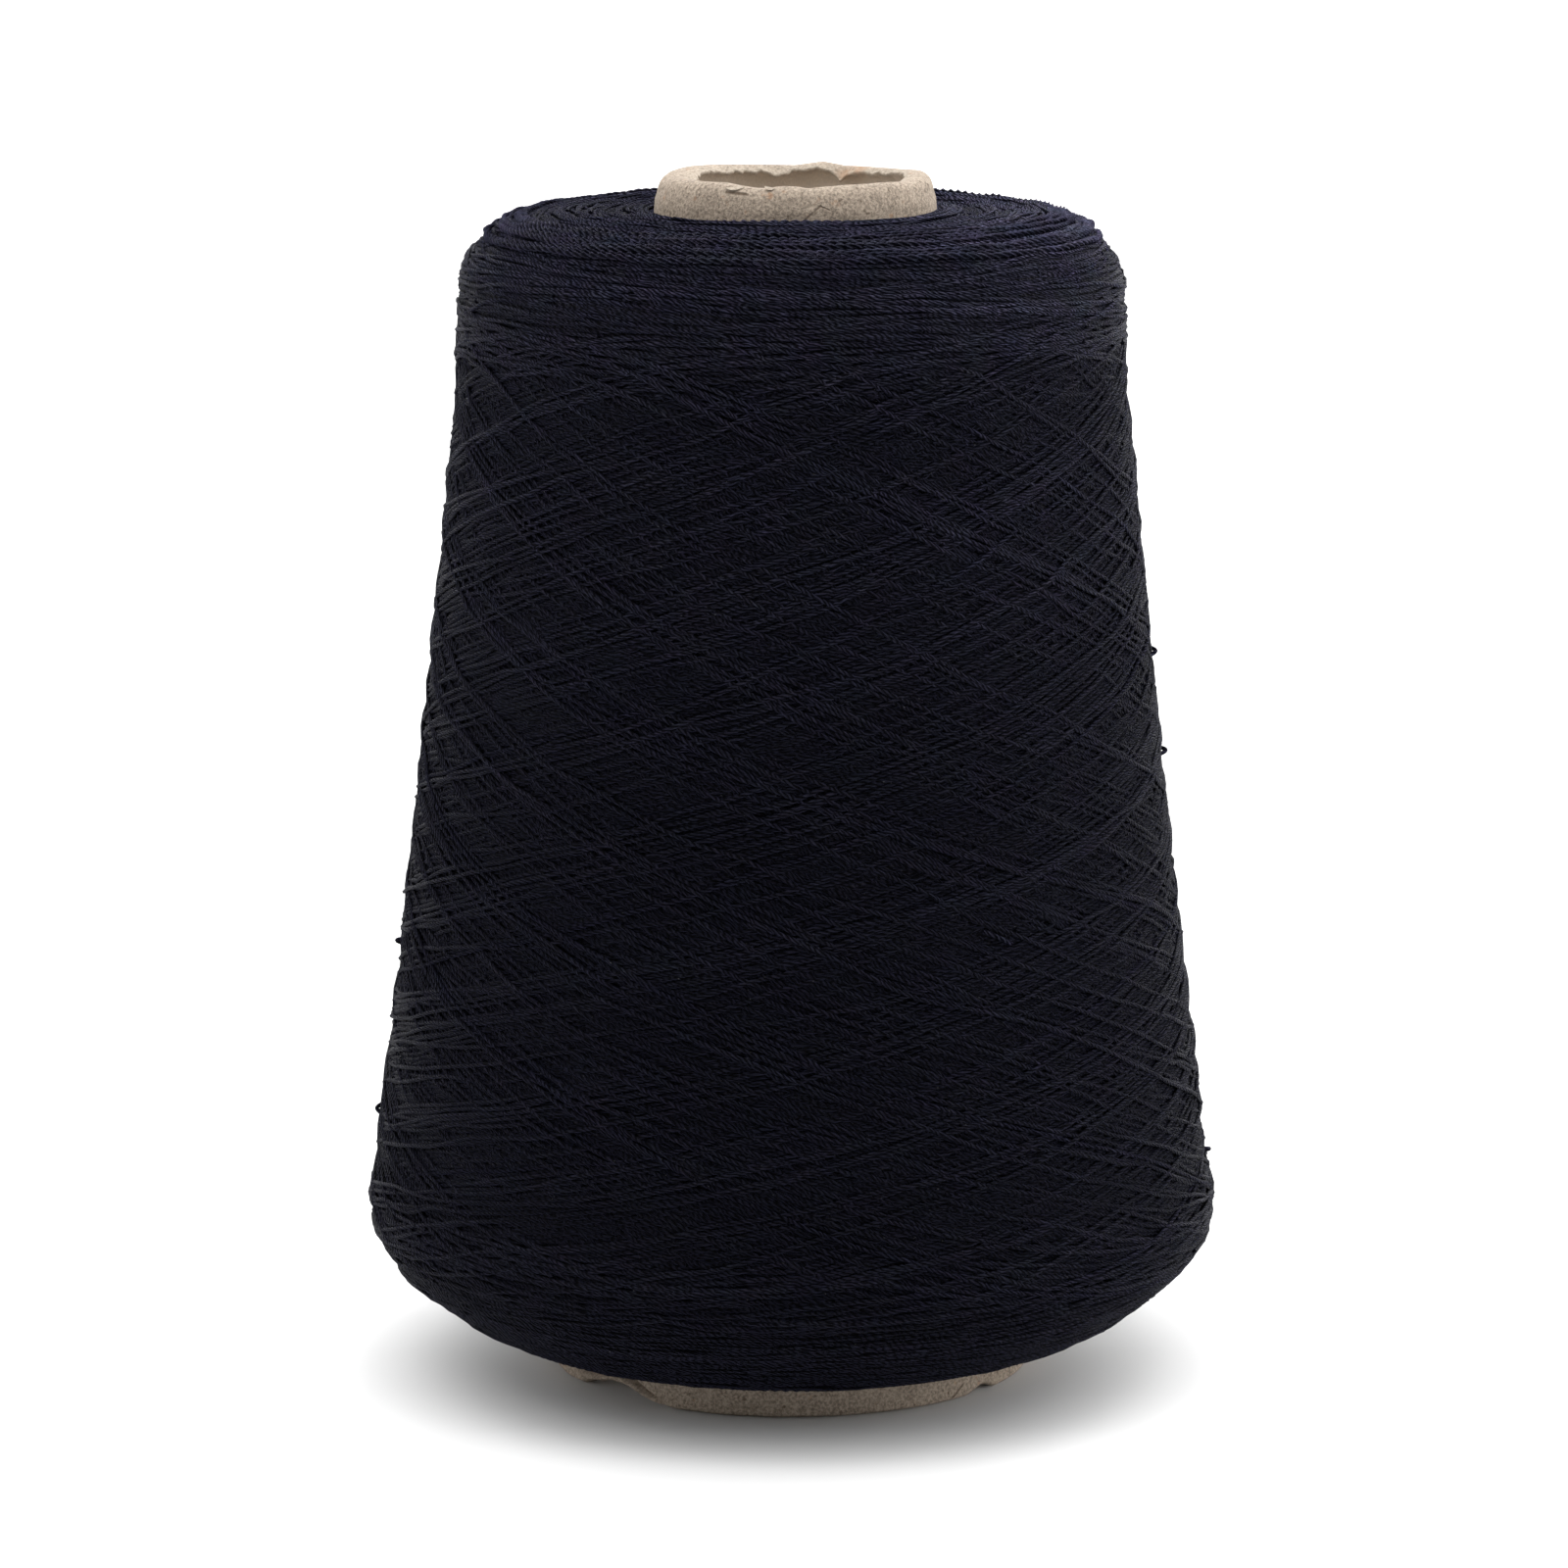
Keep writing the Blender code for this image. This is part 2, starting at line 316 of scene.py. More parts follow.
class Skin:
    # the package's surface, unrolled to a grid of cells of even size
    def __init__(self, w):
        self.s, self.r, self.z, self.nr, self.nz = smoothSection(w["section"], gridStep)
        self.length = self.s[-1]
        low, high = w["flank"]
        self.footS = self.atHeight(low)
        self.topS = self.s[np.where(self.z <= high)[0].max()]
        d = w["shoulder"]
        self.share = ease((self.s - self.footS + d) / d) * ease((self.topS + d - self.s) / d)
        self.climb = np.clip((self.s - self.footS) / (self.topS - self.footS), 0, 1)
        self.columns = np.maximum(8, np.round(2 * np.pi * self.r / gridStep)).astype(int)
        self.first = summed(self.columns)[:-1]
        self.row = np.repeat(np.arange(len(self.s)), self.columns)

    def atHeight(self, z):
        # the place on the section at this height in mm, above the widest turn
        widest = int(np.argmax(self.r))
        return self.s[widest + np.argmax(self.z[widest:] > z)]

    def radius(self, s):
        return np.interp(s, self.s, self.r)

    def cell(self, theta, s):
        row = np.clip(np.rint(s / gridStep).astype(int), 0, len(self.s) - 1)
        count = self.columns[row]
        column = (np.mod(theta, 2 * np.pi) / (2 * np.pi) * count).astype(int)
        return self.first[row] + np.minimum(column, count - 1)

    def slope(self, angles, endAngle):
        full = angles[0] + (angles[1] - angles[0]) * self.climb
        return np.tan(np.radians(endAngle + (full - endAngle) * self.share))

    def place(self, theta, s, height):
        r = self.radius(s) + height * np.interp(s, self.s, self.nr)
        z = np.interp(s, self.s, self.z) + height * np.interp(s, self.s, self.nz)
        return roundPoints(r, theta, z)

    def outward(self, theta, s):
        return roundPoints(np.interp(s, self.s, self.nr), theta, np.interp(s, self.s, self.nz))


def endTurns(skin, w, rng):
    # near-level turns that close each end face from the board to the shoulder
    room, step = 0.35, 0.02  # mm kept free at the board, radians between points
    strokes = []
    for low, high in ((room, skin.footS), (skin.topS, skin.length - room)):
        for layer in range(w["endLayers"]):
            pitch = w["thread"] * rng.uniform(0.9, 1.05)
            turns = (high - low) / pitch
            theta = np.arange(0, turns * 2 * np.pi, step)
            s = low + pitch * theta / (2 * np.pi)
            sway = sum(smoothNoise(rng, len(s), wave, step * 42) * size for wave, size in w["endSway"])
            toBoard = np.minimum(s, skin.length - s)
            s = s + w["endWander"] * sway * ease((toBoard - 0.5) / 5)
            if layer % 2:
                s = s[::-1]
            strokes.append({"theta": theta + rng.uniform(0, 6.28), "s": np.clip(s, room, skin.length - room)})
    return strokes


def planTurns(skin, w, rng, n, reach):
    # where each stroke turns back, so that the cover comes out even
    slope = (skin.slope(w["upAngle"], w["endAngle"]) + skin.slope(w["downAngle"], w["endAngle"])) / 2
    need = skin.r * slope
    i, j = int(skin.footS / gridStep), int(skin.topS / gridStep)
    low = np.maximum.accumulate(np.minimum(1, need[:i + 1] / need[i]))
    high = np.minimum.accumulate(np.minimum(1, need[j:] / need[j]))
    low = np.where(skin.s[:i + 1] < skin.footS - reach, 0, low)
    high = np.where(skin.s[j:] > skin.topS + reach, 0, high)

    def shuffled(count):
        return rng.permutation((np.arange(count) + rng.random(count)) / count)

    room = 0.4  # mm kept free at the board
    foot = np.interp(shuffled(n + 1), low, skin.s[:i + 1])
    top = np.interp(shuffled(n + 1), high[::-1], skin.s[j:][::-1])
    return np.maximum(foot, room), np.minimum(top, skin.length - room)


def strokePath(skin, turn, slope, a, b):
    # angle against place, with the thread running level where it turns back
    d = abs(b - a)
    turn = min(turn, d / 2.2)
    fine = turn * np.linspace(0, 1, 25) ** 2
    g = np.concatenate([fine, np.arange(turn + 0.5, d - turn, 0.5), d - fine[::-1]])
    near = np.minimum(g, d - g)
    wrapped = np.where(near < turn, 2 * np.sqrt(np.maximum(near, 0) * turn), near + turn)
    middle = 2 * (d / 2 + turn)
    wrapped = np.where(g <= d / 2, wrapped, middle - wrapped)
    s = a + np.sign(b - a) * g
    rate = 1 / (skin.radius(s) * np.interp(s, skin.s, slope))
    theta = summed(np.diff(wrapped) * (rate[1:] + rate[:-1]) / 2)
    return theta, s


def planStrokes(skin, w, rng):
    # a plan says where each stroke passes the middle: first side by side, then in bands
    even, banded = w["evenStrokes"], w["bandStrokes"]
    foot, top = (np.concatenate(pair) for pair in zip(planTurns(skin, w, rng, even, 99),
                                                      planTurns(skin, w, rng, banded, 14)))
    middle = (skin.footS + skin.topS) / 2
    radius = skin.radius(middle)
    angles = [math.radians(np.mean(w["upAngle"])), math.radians(np.mean(w["downAngle"]))]
    strokes, end, least = [], 0.0, -0.35
    for k in range(2 * (even + banded)):
        way, late = k % 2, int(k >= 2 * even)  # up, then down again; first even, then banded
        if k in (0, 2 * even):
            q = w["bandsRound"] if k else even
            loose = 0.10 if k else 0.3 * 2 * math.pi / even
            bands = [{"at": np.arange(q) * 2 * np.pi / q + rng.normal(0, loose, q), "count": np.zeros(q)}
                     for _ in (0, 1)]
        a, b = (top[k // 2], foot[k // 2 + 1]) if way else (foot[k // 2], top[k // 2])
        slope = skin.slope(w["downAngle"] if way else w["upAngle"], w["endAngle"] * rng.uniform(0.5, 2.0))
        slope *= 1 + rng.normal(0, w["angleSpread"][late])
        theta, s = strokePath(skin, rng.uniform(*w["turn"]), slope, a, b)
        sign = -1 if way else 1
        natural = end + np.interp(sign * middle, sign * s, theta)
        band = bands[way]
        miss = np.mod(band["at"] - natural - least, 2 * np.pi) + least
        full = band["count"] - band["count"].min()
        i = int(np.argmin(np.abs(miss) + (0.25 if late else 100) * full))
        band["count"][i] += 1
        if late:
            across = radius * math.sin(angles[way])
            band["at"][i] += w["thread"] * rng.uniform(*w["bandStep"]) / across
            if rng.random() < w["bandGap"][0]:
                band["at"][i] += rng.uniform(*w["bandGap"][1]) / across
        theta = theta + end + miss[i]
        strokes.append({"banded": late, "theta": theta, "s": s, "shift": miss[i]})
        end = theta[-1]
    takeUpShifts(strokes)
    return strokes


def takeUpShifts(strokes, blend=9.0):
    # each change of phase is taken up in the level run round the turn before it
    for before, after in zip(strokes, strokes[1:]):
        for stroke, edge, sign in ((before, -1, 1), (after, 0, -1)):
            near = np.abs(stroke["s"] - stroke["s"][edge])
            theta = stroke["theta"]
            pivot = np.interp(blend, *((near[::-1], theta[::-1]) if edge == -1 else (near, theta)))
            scale = 1 + sign * after["shift"] / 2 / (theta[edge] - pivot)
            inside = near < blend
            theta[inside] = pivot + (theta[inside] - pivot) * max(scale, 0.2)


def smoothNoise(rng, count, wave, step=pathStep):
    x = np.arange(count) * step / wave + rng.random() + 1
    v = rng.normal(0, 1, int(x[-1]) + 4)
    i = x.astype(int)
    t = x - i
    a, b, c, d = v[i - 1], v[i], v[i + 1], v[i + 2]
    return (a * (1 - t) ** 3 + b * (3 * t ** 3 - 6 * t ** 2 + 4)
            + c * (-3 * t ** 3 + 3 * t ** 2 + 3 * t + 1) + d * t ** 3) / 4


def blur(x, sigma):
    k = int(3 * sigma) + 1
    g = np.exp(-0.5 * (np.arange(-k, k + 1) / sigma) ** 2)
    return np.convolve(np.pad(x, k, mode="edge"), g / g.sum(), "valid")


def widen(x, k):
    return np.lib.stride_tricks.sliding_window_view(np.pad(x, k, mode="edge"), 2 * k + 1).max(axis=1)


def layStrokes(skin, strokes, w, rng):
    # each stroke lies on what is under it, in the order of winding
    room, slip = 0.3, 0.15  # mm kept free at the board, most that it slips at once
    radius = w["thread"] / 2
    relief = np.zeros(len(skin.row), np.float32)
    across = np.linspace(-0.92, 0.92, 9) * radius  # over its width
    drop = radius - np.sqrt(radius ** 2 - across ** 2)
    beside = np.array([0.4, 0.75, 1.1]) * w["thread"]  # where it feels for a hollow
    for stroke in strokes:
        theta, s = stroke["theta"], stroke["s"]
        r = skin.radius(s)
        run = summed(np.hypot(np.diff(theta) * (r[1:] + r[:-1]) / 2, np.diff(s)))
        along = np.arange(0, run[-1], pathStep)
        theta, s = np.interp(along, run, theta), np.interp(along, run, s)
        for wave, sway in w["sway"]:
            s = s + sway * smoothNoise(rng, len(s), wave)
        for _ in range(3):
            fall = relief[skin.cell(theta[:, None], s[:, None] - beside)].mean(axis=1) \
                - relief[skin.cell(theta[:, None], s[:, None] + beside)].mean(axis=1)
            s = s + np.clip(w["slide"][stroke.get("banded", 0)] * blur(fall, 1.8 / pathStep), -slip, slip)
        s = np.clip(s, room, skin.length - room)
        r = skin.radius(s)
        round_, rise = np.gradient(theta) * r, np.gradient(s)
        size = np.hypot(round_, rise)
        cells = skin.cell(theta[:, None] - (rise / size / r)[:, None] * across,
                          s[:, None] + (round_ / size)[:, None] * across)
        under = blur(widen((relief[cells] - drop).max(axis=1), 2), 1.7 / pathStep)
        top = under[:, None] + w["thread"] * w["bedding"] - drop
        np.maximum.at(relief, cells.ravel(), top.ravel().astype(np.float32))
        stroke.update(theta=theta, s=s, under=under, cells=cells, top=top, along=along)
    return relief


class Level:
    # the wound surface with its single threads smoothed away
    def __init__(self, skin, relief, cell=1.2, spread=3.6):
        self.cell, self.across = cell, 240
        rows = int(skin.length / cell) + 1
        turn = (np.arange(len(relief)) - skin.first[skin.row]) / skin.columns[skin.row]
        i = (skin.s[skin.row] / cell).astype(int) * self.across + (turn * self.across).astype(int)
        cells = rows * self.across
        mean = np.bincount(i, relief, minlength=cells) / np.maximum(np.bincount(i, minlength=cells), 1)
        mean = mean.reshape(rows, self.across)
        mean[:] = np.apply_along_axis(blur, 0, mean, spread / cell)
        wide = np.hstack([mean] * 3)
        wide = np.apply_along_axis(blur, 1, wide, spread / (2 * np.pi * 50 / self.across))
        self.mean = wide[:, self.across:2 * self.across]

    def at(self, theta, s):
        x = np.mod(theta, 2 * np.pi) / (2 * np.pi) * self.across - 0.5
        y = np.clip(s / self.cell - 0.5, 0, len(self.mean) - 1.001)
        i, j = np.floor(x).astype(int), y.astype(int)
        u, v = x - i, y - j
        left, right = i % self.across, (i + 1) % self.across
        m = self.mean
        return ((m[j, left] * (1 - u) + m[j, right] * u) * (1 - v)
                + (m[j + 1, left] * (1 - u) + m[j + 1, right] * u) * v)


def visibleRuns(skin, strokes, relief, level, w, rng):
    # stretches of thread that still show, with points where they bend
    least, wave = 8, 4.0  # points in the shortest, mm
    low, high = w["reliefShare"]
    runs = []
    for stroke in strokes:
        theta, s = stroke["theta"], stroke["s"]
        seen = (stroke["top"] >= relief[stroke["cells"]] - w["slack"]).any(axis=1)
        seen = widen(seen, int(w["tuckedIn"] / pathStep)) > 0
        height = stroke["under"] + w["thread"] / 2 - level.at(theta, s)
        onFlank = np.interp(s, skin.s, skin.share)
        lift = (height - w["thread"] / 2) * (0.6 + 0.4 * onFlank)
        height = height * (low + (high - low) * onFlank)
        limit = np.where(height < 0, *w["reliefLimit"])
        height = limit * np.tanh(height / limit) - w["sink"]
        edges = np.flatnonzero(np.diff(np.concatenate([[0], seen.astype(int), [0]])))
        height = height + w["ups"][0] * rng.normal() + w["ups"][1] * 1.6 * smoothNoise(rng, len(height), wave)
        points = skin.place(theta, s, height)
        bend = np.linalg.norm(np.gradient(np.gradient(points, axis=0), axis=0), axis=1) / pathStep ** 2
        step = np.clip(np.sqrt(8 * w["straight"] / np.maximum(blur(bend, 3), 1e-4)), *w["pointGap"])
        for a, b in zip(edges[::2], edges[1::2]):
            if b - a < least:
                continue
            density = summed(pathStep / step[a:b - 1])
            count = max(2, int(round(density[-1])) + 1)
            rng.uniform(-1, 1, count)  # unused, but what follows depends on this draw
            at = np.interp(np.linspace(0, density[-1], count), density, np.arange(a, b))
            i = np.round(at).astype(int)
            runs.append((points[i], skin.outward(theta[i], s[i]), stroke["along"][i], lift[i]))
    return runs


def threadTree(name):
    # runs of points become thread, with plies in its profile where "Ply Depth" is set
    tree = bpy.data.node_groups.new(name, "GeometryNodeTree")
    for label, kind, way in (("Geometry", "Geometry", "INPUT"), ("Thread Width", "Float", "INPUT"),
                             ("Sides", "Int", "INPUT"), ("Ply Pitch", "Float", "INPUT"),
                             ("Ply Depth", "Float", "INPUT"), ("Material", "Material", "INPUT"),
                             ("Geometry", "Geometry", "OUTPUT")):
        tree.interface.new_socket(label, in_out=way, socket_type="NodeSocket" + kind)
    start = tree.nodes.new("NodeGroupInput").outputs
    path = wired(tree, "GeometryNodeMeshToCurve", {"Mesh": start["Geometry"]})
    outward = wired(tree, "GeometryNodeInputNamedAttribute", {"Name": "outward"}, data_type="FLOAT_VECTOR")
    path = wired(tree, "GeometryNodeSetCurveNormal", {"Curve": path, "Normal": outward}, mode="FREE")
    # the plied profile turns once in each pitch
    along = wired(tree, "GeometryNodeInputNamedAttribute", {"Name": "along"}, data_type="FLOAT")
    angle = times(tree, maths(tree, "DIVIDE", along, start["Ply Pitch"]), 2 * math.pi)
    plied = maths(tree, "GREATER_THAN", start["Ply Depth"], 0.0)
    path = wired(tree, "GeometryNodeSetCurveTilt", {"Curve": path, "Tilt": times(tree, angle, plied)})
    circle = wired(tree, "GeometryNodeCurvePrimitiveCircle",
                   {"Resolution": start["Sides"], "Radius": times(tree, start["Thread Width"], 0.5)})
    position = wired(tree, "GeometryNodeInputPosition", {})
    ring = vectors(tree, "NORMALIZE", position)
    parts = partsOf(tree, ring)
    around = maths(tree, "ARCTAN2", parts[1], parts[0])
    lobes = maths(tree, "COSINE", times(tree, around, 3.0))
    swell = scaled(tree, ring, times(tree, lobes, start["Ply Depth"]))
    profile = wired(tree, "GeometryNodeStoreNamedAttribute", {"Geometry": circle, "Name": "ring", "Value": ring},
                    data_type="FLOAT_VECTOR", domain="POINT")
    profile = wired(tree, "GeometryNodeSetPosition", {"Geometry": profile, "Offset": swell})
    made = wired(tree, "GeometryNodeCurveToMesh",
                 {"Curve": path, "Profile Curve": profile, "Fill Caps": True})
    made = wired(tree, "GeometryNodeSetShadeSmooth", {"Geometry": made})
    made = wired(tree, "GeometryNodeRealizeInstances", {"Geometry": made})
    made = wired(tree, "GeometryNodeSetMaterial", {"Geometry": made, "Material": start["Material"]})
    fill(tree.nodes.new("NodeGroupOutput"), {"Geometry": made})
    return tree


def ringTurns(w, rings, step=0.3):
    # whole turns that show against the board and against the floor
    runs = []
    rng = np.random.default_rng(w["seed"] + 1)
    for radius, height, aside, turns, rise in rings:
        atNose = height > 100
        count = int(2 * math.pi * radius * turns / step)
        theta = np.linspace(0, 2 * math.pi * turns, count) + math.pi / 2
        wobble = 0.10 * smoothNoise(rng, count, 9.0, step)
        drop = 0.85 * np.cos(theta) ** 2 if atNose else 0 * theta
        r = radius + wobble + rise[0] * np.linspace(0, 1, count)
        z = height - drop + 0.7 * wobble + rise[1] * np.linspace(0, 1, count)
        points = roundPoints(r, theta, z) + (aside, 0, 0)
        up = np.full(count, 0.8 if atNose else -0.8)
        outward = roundPoints(0.6, theta, up)
        runs.append((points, outward, np.arange(count) * step, np.zeros(count)))
    return runs


def shoulderTurns(skin, w, step=0.45):
    # level turns over the upper shoulder, with modelled plies
    rng = np.random.default_rng(w["seed"] + 2)
    low, high, up, waver = w["shoulderTurns"]
    a, b = skin.atHeight(low), skin.atHeight(high)
    turns = (b - a) / (w["thread"] * 1.02)
    count = int(2 * math.pi * skin.radius((a + b) / 2) * turns / step)
    theta = np.linspace(0, 2 * math.pi * turns, count) + math.pi / 2
    s = (np.linspace(a, b, count) + waver * smoothNoise(rng, count, 40.0, step)
         + 0.08 * smoothNoise(rng, count, 6.0, step))
    height = up + 0.16 * smoothNoise(rng, count, 11.0, step) + 0.12 * smoothNoise(rng, count, 2.5, step)
    edge = np.minimum(np.arange(count), count - 1 - np.arange(count)) * step
    height -= 0.8 * (1 - ease(edge / 12))
    return [(skin.place(theta, s, height), skin.outward(theta, s), np.arange(count) * step,
             0.25 * smoothNoise(rng, count, 14.0, step))]


def looseLoops(skin, w, count=24):
    # short slack stretches that stand off the surface
    runs = []
    for direction, height, length, lift, slope in w["loops"]:
        middle = skin.atHeight(height)
        along = np.linspace(0, length, count)
        s = middle + slope * (along - length / 2)
        theta = math.radians(direction) + (along - length / 2) / skin.radius(middle)
        up = -0.2 + lift * np.sin(np.pi * along / length) ** 2
        points, outward = skin.place(theta, s, up), skin.outward(theta, s)
        way = np.gradient(points, axis=0)
        way /= np.linalg.norm(way, axis=1)[:, None]
        # square to the path, or its steep parts come out flat
        outward = outward - (outward * way).sum(axis=1)[:, None] * way
        outward /= np.linalg.norm(outward, axis=1)[:, None]
        runs.append((points, outward, along, np.full(count, 0.1)))
    return runs


def socketId(tree, label):
    return next(i.identifier for i in tree.interface.items_tree
                if i.item_type == "SOCKET" and i.in_out == "INPUT" and i.name == label)


def threadPiece(name, runs, tree, settings):
    points, outward, along, lift = (np.concatenate(column) for column in zip(*runs))
    last = np.cumsum([len(r[0]) for r in runs]) - 1
    joined = np.setdiff1d(np.arange(len(points)), last)  # to the point after them
    mesh = bpy.data.meshes.new(name)
    mesh.from_pydata(points * mm, np.stack([joined, joined + 1], -1), [])
    storeOn(mesh, "outward", outward, "FLOAT_VECTOR")
    storeOn(mesh, "along", along * mm)
    storeOn(mesh, "lift", lift)
    made = linked(name, mesh)
    modifier = made.modifiers.new("thread", "NODES")
    modifier.node_group = tree
    for label, value in settings.items():
        modifier[socketId(tree, label)] = value
    result = bpy.data.meshes.new_from_object(made.evaluated_get(bpy.context.evaluated_depsgraph_get()))
    made.modifiers.remove(modifier)
    made.data = result
    bpy.data.meshes.remove(mesh)
    result.name = name
    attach(made, "root")
    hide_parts("yarn_winding")
    return made


def threadMaterial(name, w, shine, sheen, rightPaintedLight, plied=False):
    material, tree, shader = newMaterial(name)
    place = wired(tree, "ShaderNodeTexCoord", {}, "Object")
    along = attributeOf(tree, "along")
    parts = partsOf(tree, attributeOf(tree, "ring", "Vector"))
    around = maths(tree, "ARCTAN2", parts[1], parts[0])
    if plied:  # its modelled profile already turns
        twisted, lobes = maths(tree, "ADD", around, math.pi / 3), 1.5
    else:
        turn = times(tree, along, 2 * math.pi / (w["plyPitch"] * mm))
        sway = times(tree, maths(tree, "SUBTRACT", noiseOf(tree, place, 330), 0.5), w["twistSway"])
        twisted, lobes = maths(tree, "ADD", maths(tree, "SUBTRACT", around, turn), sway), w["plies"] / 2
    plies = maths(tree, "ABSOLUTE", maths(tree, "SINE", times(tree, twisted, lobes)))
    # fibres run with the twist, some darker and some lighter
    round_, rise = (maths(tree, name, twisted) for name in ("COSINE", "SINE"))
    fibre = wired(tree, "ShaderNodeCombineXYZ",
                  {0: round_, 1: rise, 2: times(tree, along, w["fibreStretch"] / mm)})
    streaks = maths(tree, "SUBTRACT", noiseOf(tree, fibre, w["fibreScale"], 3, 0.65), 0.5)
    height = maths(tree, "ADD", maths(tree, "POWER", plies, 0.8), times(tree, streaks, w["fibreShare"]))
    # it is lighter and darker in random patches, and painted light makes it lighter from the left to the right
    # and up to the top
    tone = spread(tree, noiseOf(tree, place, 1100, 4, 0.7), 0.3, 0.7, 0.3, 1.7)
    axes = partsOf(tree, place)
    # painted light: lighter up toward the top, and toward the right by zone
    for axis, low, high, share in w["paintedLight"] + ((0, *w["rightPaintedLight"], rightPaintedLight),):
        paintedLight = spread(tree, axes[axis], low, high, 1.0, 1.0 + share, "SMOOTHSTEP")
        tone = times(tree, tone, paintedLight)
    # painted shade on threads that lie deep, painted light on those that stand proud
    tone = times(tree, tone, spread(tree, attributeOf(tree, "lift"), *w["liftRange"], *w["depthShade"]))
    # painted shade along the sides of a thread, where it meets its neighbours
    if not plied:
        sides = spread(tree, parts[0], *w["sideRange"], *w["sides"], "SMOOTHSTEP")
        tone = times(tree, tone, sides)
    # the ramp paints shade into the ply furrows and a highlight onto their crests
    colour = rampOf(tree, times(tree, height, 0.8), w["plyShadeTones"])
    tints = vectors(tree, "MULTIPLY_ADD", noiseOf(tree, place, w["tintScale"], 3, output="Color"),
                    (w["tints"],) * 3, (1 - w["tints"] / 2,) * 3)
    colour = vectors(tree, "MULTIPLY", scaled(tree, colour, tone), tints)
    specks = spread(tree, noiseOf(tree, place, 2600, 1), 0.76, 0.82, 0, w["lint"])
    colour = vectors(tree, "ADD", colour, specks)
    fill(shader, {"Base Color": colour, "Normal": bumpOf(tree, w["plyBump"] * mm, height), "Roughness": 0.55,
                  "Specular IOR Level": shine, "Sheen Weight": sheen, "Sheen Roughness": 0.3,
                  "Sheen Tint": w["sheenTint"] + (1,)})
    return material


def bodyMaterial(w):
    # deeper turns, seen only through gaps between the threads
    material, tree, shader = newMaterial("black_thread_deep")
    parts = partsOf(tree, attributeOf(tree, "ring", "Vector"))
    turn = maths(tree, "DIVIDE", maths(tree, "ARCTAN2", parts[1], parts[0]), 2 * math.pi)
    rise = times(tree, attributeOf(tree, "along"), 1 / mm)
    around, slant, marks = w["deepTurns"]
    threads = maths(tree, "ADD", times(tree, turn, around), times(tree, rise, slant))
    dashes = maths(tree, "ADD", times(tree, turn, marks), times(tree, threads, 0.5))
    strand, dash = (maths(tree, "ABSOLUTE", maths(tree, "SINE", times(tree, wave, math.pi)))
                    for wave in (threads, dashes))
    height = times(tree, strand, maths(tree, "ADD", dash, 0.5))
    # painted shade in the furrows between the body's turns
    fill(shader, {"Base Color": rampOf(tree, height, w["deepShadeTones"]), "Roughness": 0.6,
                  "Normal": bumpOf(tree, 0.0004, height), "Specular IOR Level": 0.03})
    return material


def bodyUnderThread(skin, w, material):
    sides = 180
    keep = np.unique(np.concatenate([np.arange(0, len(skin.s), 8), [len(skin.s) - 1]]))
    theta = np.arange(sides) * 2 * np.pi / sides
    points = np.vstack([skin.place(theta, np.full(sides, skin.s[k]),
                                   -np.interp(skin.share[k], (0, 1), w["bodyDepth"])) for k in keep]) * mm
    made = meshObject("thread_body", points, ringFaces(len(keep), sides), material)
    storeOn(made.data, "ring", np.tile(roundPoints(1, theta, 0 * theta), (len(keep), 1)), "FLOAT_VECTOR")
    storeOn(made.data, "along", np.repeat(skin.s[keep] * mm, sides))
    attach(made, "root")
    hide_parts("yarn_winding")
    return made


skin = Skin(winding)
rng = np.random.default_rng(winding["seed"])
strokes = endTurns(skin, winding, rng) + planStrokes(skin, winding, rng)
relief = layStrokes(skin, strokes, winding, rng)
runs = visibleRuns(skin, strokes, relief, Level(skin, relief), winding, rng)
length = sum(r[2][-1] - r[2][0] for r in runs) / 1000
print("the winding shows", round(length, 1), "m of thread in", len(runs), "runs")
tree = threadTree("thread")
settings = {"Thread Width": winding["thread"] * mm, "Sides": 5, "Ply Pitch": winding["plyPitch"] * mm,
            "Ply Depth": 0.0}
highest = np.array([r[0][:, 2].max() for r in runs])
for zone, (low, high, *look) in winding["zones"].items():
    settings["Material"] = threadMaterial("black_thread_" + zone, winding, *look)
    groups, count = [[]], 0
    for i in np.flatnonzero((highest >= low) & (highest < high)):
        count += len(runs[i][0])
        if count > winding["most"]:
            groups.append([])
            count = len(runs[i][0])
        groups[-1].append(runs[i])
    for part, group in enumerate(groups):
        threadPiece(f"thread_{zone}_{part + 1}", group, tree, settings)
plied = {"Thread Width": winding["pliedWidth"] * mm, "Sides": 9, "Ply Pitch": winding["pliedPitch"] * mm,
         "Ply Depth": winding["plyDepth"] * mm,
         "Material": threadMaterial("black_thread_plied", winding, *winding["pliedLook"], plied=True)}
for name, rings in winding["rings"].items():
    threadPiece(name, ringTurns(winding, rings), tree, plied)
threadPiece("thread_shoulder_turns", shoulderTurns(skin, winding), tree, plied | {"Sides": 6})
threadPiece("thread_loops", looseLoops(skin, winding), tree, settings | {"Sides": 7})
bodyUnderThread(skin, winding, bodyMaterial(winding))
print("the thread is wound")


# the paper core

